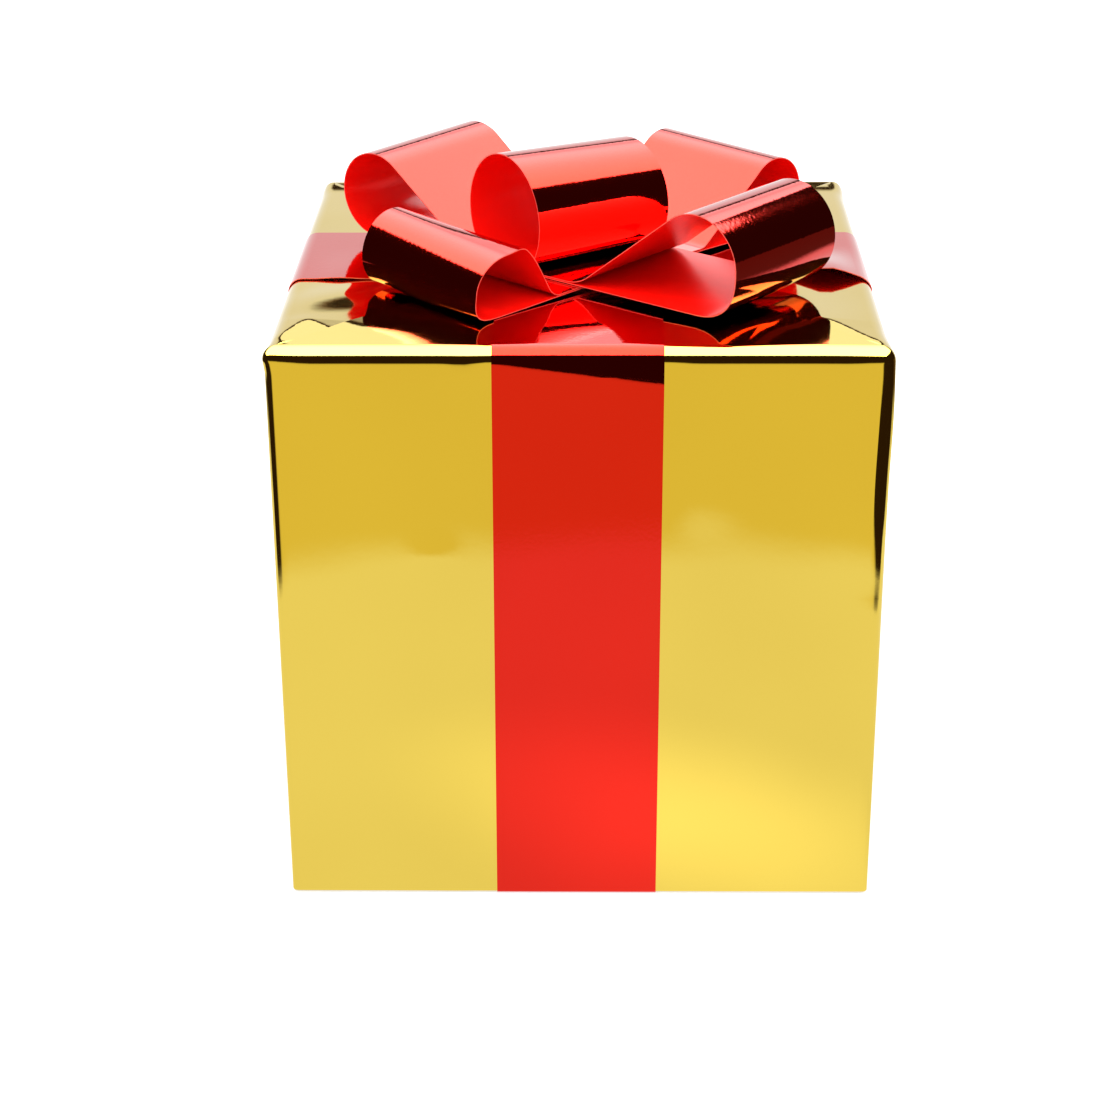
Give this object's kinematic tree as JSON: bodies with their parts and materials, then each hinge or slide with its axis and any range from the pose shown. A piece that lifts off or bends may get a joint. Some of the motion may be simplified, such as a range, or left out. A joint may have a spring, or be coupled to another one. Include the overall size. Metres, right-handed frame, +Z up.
{
  "type": "gift box",
  "caption": "Cube gift box wrapped in mirror gold film, tied with crossed red metallised ribbon and topped with a looped bow that lifts off.",
  "frame": {"origin": "middle of the face that the box stands on, at the underside of the ribbon there", "axes": "+Z up, -Y out of the front face, +X to the right seen from the front"},
  "size_m": [0.1822, 0.1823, 0.2188],
  "materials": {
    "board": "matte",
    "packing_tape": "gloss",
    "gold_film": "polished",
    "clear_tape": "gloss",
    "red_film": "polished",
    "pad_foam": "matte",
    "backing_card": "matte",
    "rivet_brass": "satin"
  },
  "bodies": {
    "package": {"carton_walls": "board", "carton_top_flap_front": "board", "wrap_top_fold_front": "gold_film", "carton_top_flap_back": "board", "wrap_top_fold_back": "gold_film", "carton_top_flap_left": "board", "wrap_top_fold_left": "gold_film", "carton_top_flap_right": "board", "wrap_top_fold_right": "gold_film", "carton_tape_top": "packing_tape", "wrap_top_tape": "clear_tape", "carton_bottom_flap_front": "board", "wrap_bottom_fold_front": "gold_film", "carton_bottom_flap_back": "board", "wrap_bottom_fold_back": "gold_film", "carton_bottom_flap_left": "board", "wrap_bottom_fold_left": "gold_film", "carton_bottom_flap_right": "board", "wrap_bottom_fold_right": "gold_film", "carton_tape_bottom": "packing_tape", "wrap_bottom_tape": "clear_tape", "wrap_sleeve": "gold_film", "wrap_seam_tape": "clear_tape", "ribbon_front_back": "red_film", "ribbon_left_right": "red_film"},
    "bow_base": {"bow_pad": "pad_foam", "bow_card": "backing_card", "bow_rivet": "rivet_brass"},
    "bow_lower": {"bow_loops_lower": "red_film"},
    "bow_upper": {"bow_loops_upper": "red_film"},
    "bow_crown": {"bow_ring": "red_film"}
  },
  "joints": [
    {"name": "bow_lift", "type": "slide", "parent": "package", "child": "bow_base", "axis": [0, 0, 1], "range_m": [0, 0.15]},
    {"name": "lower_loops_swivel", "type": "hinge", "parent": "bow_base", "child": "bow_lower", "pos_m": [-0.002, -0.007, 0.1845], "axis": [0, 0, 1], "range_deg": [-6, 6]},
    {"name": "upper_loops_swivel", "type": "hinge", "parent": "bow_base", "child": "bow_upper", "pos_m": [-0.002, -0.007, 0.1845], "axis": [0, 0, 1], "range_deg": [-6, 6]},
    {"name": "ring_swivel", "type": "hinge", "parent": "bow_base", "child": "bow_crown", "pos_m": [-0.002, -0.007, 0.1845], "axis": [0, 0, 1], "range_deg": [-6, 6]}
  ]
}
